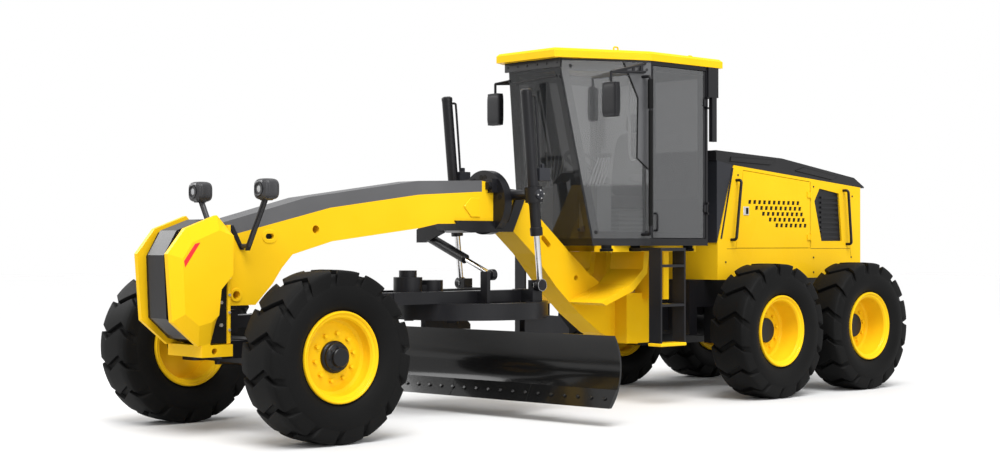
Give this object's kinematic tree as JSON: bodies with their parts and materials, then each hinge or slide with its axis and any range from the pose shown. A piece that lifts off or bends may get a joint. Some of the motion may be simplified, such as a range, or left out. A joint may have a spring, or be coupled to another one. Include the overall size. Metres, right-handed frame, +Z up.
{
  "type": "motor grader",
  "caption": "Articulated motor grader: arched front frame with leaning nose, glazed cab, turning circle and long curved blade, tandem rear wheels under a sloped engine hood.",
  "frame": {"origin": "on the ground under the middle of the machine's bounding box", "axes": "+X forward along the machine, +Y to its left, +Z up"},
  "size_m": [8.88, 3.6588, 3.458],
  "materials": {
    "yellow": "gloss yellow enamel",
    "black": "satin black enamel",
    "grey": "satin dark grey enamel",
    "rod": "hard chrome",
    "tyre": "ribbed rubber",
    "glass": "tinted safety glass",
    "seat": "woven cover",
    "plastic": "moulded",
    "lamp": "dark shell with a clear lens",
    "engine": "painted casting"
  },
  "bodies": {
    "rear_frame": {"rear_frame": "yellow", "engine_block": "engine", "rear_axle": "black", "tandem_left": "black", "tandem_right": "black", "hood_shell": "yellow", "hood_front": "black", "hood_top": "black", "hood_grilles": "black", "hood_rails": "black"},
    "front_frame": {"front_frame": "yellow", "frame_top": "grey", "nose_cheeks": "yellow", "nose_core": "black", "headlamps": "lamp", "saddle": "black", "lift_barrels": "black", "cab_floor": "yellow", "cab_frame": "black", "cab_glass": "glass", "cab_roof": "yellow", "seat": "seat", "console": "plastic", "mirrors": "black", "steps": "black", "front_axle": "black"},
    "drawbar": {"drawbar": "black", "circle_drive": "black"},
    "circle": {"circle": "black"},
    "tilt_brackets": {"tilt_brackets": "black"},
    "blade": {"blade": "black"},
    "shift_barrel": {"shift_barrel": "black"},
    "shift_rod": {"shift_rod": "rod"},
    "tie_rod": {"tie_rod": "black"},
    "engine_door_left": {"engine_door_left": "yellow"},
    "cab_door_left": {"cab_door_left": "black", "cab_door_glass_left": "glass"},
    "knuckle_left": {"knuckle_left": "black"},
    "lift_rod_left": {"lift_rod_left": "rod"},
    "engine_door_right": {"engine_door_right": "yellow"},
    "cab_door_right": {"cab_door_right": "black", "cab_door_glass_right": "glass"},
    "knuckle_right": {"knuckle_right": "black"},
    "lift_rod_right": {"lift_rod_right": "rod"},
    "wheel_front_left": {"tyre_front_left": "tyre", "rim_front_left": "yellow"},
    "wheel_front_right": {"tyre_front_right": "tyre", "rim_front_right": "yellow"},
    "wheel_middle_left": {"tyre_middle_left": "tyre", "rim_middle_left": "yellow"},
    "wheel_middle_right": {"tyre_middle_right": "tyre", "rim_middle_right": "yellow"},
    "wheel_rear_left": {"tyre_rear_left": "tyre", "rim_rear_left": "yellow"},
    "wheel_rear_right": {"tyre_rear_right": "tyre", "rim_rear_right": "yellow"}
  },
  "joints": [
    {"name": "articulation", "type": "hinge", "parent": "rear_frame", "child": "front_frame", "pos_m": [-1.275, 0, 0.805], "axis": [0, 0, 1], "range_deg": [-25, 25]},
    {"name": "middle_left_spin", "type": "hinge", "parent": "rear_frame", "child": "wheel_middle_left", "pos_m": [-2.035, 1.07, 0.675], "axis": [0, 1, 0], "continuous": true},
    {"name": "middle_right_spin", "type": "hinge", "parent": "rear_frame", "child": "wheel_middle_right", "pos_m": [-2.035, -1.07, 0.675], "axis": [0, 1, 0], "continuous": true},
    {"name": "rear_left_spin", "type": "hinge", "parent": "rear_frame", "child": "wheel_rear_left", "pos_m": [-3.555, 1.07, 0.675], "axis": [0, 1, 0], "continuous": true},
    {"name": "rear_right_spin", "type": "hinge", "parent": "rear_frame", "child": "wheel_rear_right", "pos_m": [-3.555, -1.07, 0.675], "axis": [0, 1, 0], "continuous": true},
    {"name": "steer_left", "type": "hinge", "parent": "front_frame", "child": "knuckle_left", "pos_m": [3.475, 0.79, 0.675], "axis": [0, 0, 1], "range_deg": [-45, 45]},
    {"name": "steer_right", "type": "hinge", "parent": "front_frame", "child": "knuckle_right", "pos_m": [3.475, -0.79, 0.675], "axis": [0, 0, 1], "range_deg": [-45, 45]},
    {"name": "tie_rod_swing", "type": "hinge", "parent": "knuckle_left", "child": "tie_rod", "pos_m": [3.255, 0.79, 0.526], "axis": [0, 0, 1], "range_deg": [-45, 45]},
    {"name": "front_left_spin", "type": "hinge", "parent": "knuckle_left", "child": "wheel_front_left", "pos_m": [3.475, 1.07, 0.675], "axis": [0, 1, 0], "continuous": true},
    {"name": "front_right_spin", "type": "hinge", "parent": "knuckle_right", "child": "wheel_front_right", "pos_m": [3.475, -1.07, 0.675], "axis": [0, 1, 0], "continuous": true},
    {"name": "drawbar_lift", "type": "hinge", "parent": "front_frame", "child": "drawbar", "pos_m": [3.745, 0, 0.92], "axis": [0, 1, 0], "range_deg": [-13, 6.5]},
    {"name": "circle_turn", "type": "hinge", "parent": "drawbar", "child": "circle", "pos_m": [1.075, 0, 0.944], "axis": [0, 0, 1], "range_deg": [-60, 48]},
    {"name": "blade_pitch", "type": "hinge", "parent": "circle", "child": "tilt_brackets", "pos_m": [0.9656, -0.0115, 0.4], "axis": [-0.1045, 0.9945, 0], "range_deg": [-5, 40]},
    {"name": "blade_shift", "type": "slide", "parent": "tilt_brackets", "child": "blade", "axis": [-0.1045, 0.9945, 0], "range_m": [-0.45, 0.45]},
    {"name": "cab_door_left_swing", "type": "hinge", "parent": "front_frame", "child": "cab_door_left", "pos_m": [-1.42, 0.792, 2.4], "axis": [0, 0, 1], "range_deg": [0, 90]},
    {"name": "engine_door_left_swing", "type": "hinge", "parent": "rear_frame", "child": "engine_door_left", "pos_m": [-3.387, 0.612, 1.85], "axis": [0, 0, 1], "range_deg": [0, 90]},
    {"name": "cab_door_right_swing", "type": "hinge", "parent": "front_frame", "child": "cab_door_right", "pos_m": [-1.42, -0.792, 2.4], "axis": [0, 0, -1], "range_deg": [0, 90]},
    {"name": "engine_door_right_swing", "type": "hinge", "parent": "rear_frame", "child": "engine_door_right", "pos_m": [-3.387, -0.612, 1.85], "axis": [0, 0, -1], "range_deg": [0, 90]},
    {"name": "lift_rod_left_slide", "type": "slide", "parent": "front_frame", "child": "lift_rod_left", "axis": [0.101, 0, 0.9949], "range_m": [-0.72, 0.36]},
    {"name": "lift_rod_right_slide", "type": "slide", "parent": "front_frame", "child": "lift_rod_right", "axis": [0.101, 0, 0.9949], "range_m": [-0.72, 0.36]},
    {"name": "shift_barrel_swing", "type": "hinge", "parent": "front_frame", "child": "shift_barrel", "pos_m": [1.175, -0.45, 1.62], "axis": [1, 0, 0], "range_deg": [-30, 15]},
    {"name": "shift_rod_slide", "type": "slide", "parent": "shift_barrel", "child": "shift_rod", "axis": [0, 0.932, -0.3624], "range_m": [-0.14, 0.27]}
  ],
  "couplings": [
    {"joint": "steer_right", "follows": "steer_left", "ratio": 1},
    {"joint": "tie_rod_swing", "follows": "steer_left", "ratio": -1},
    {"joint": "lift_rod_left_slide", "follows": "drawbar_lift", "m_per_rad": 3.0905},
    {"joint": "lift_rod_right_slide", "follows": "drawbar_lift", "m_per_rad": 3.0905},
    {"joint": "shift_barrel_swing", "follows": "drawbar_lift", "ratio": 2.1},
    {"joint": "shift_rod_slide", "follows": "drawbar_lift", "m_per_rad": -1.1}
  ]
}
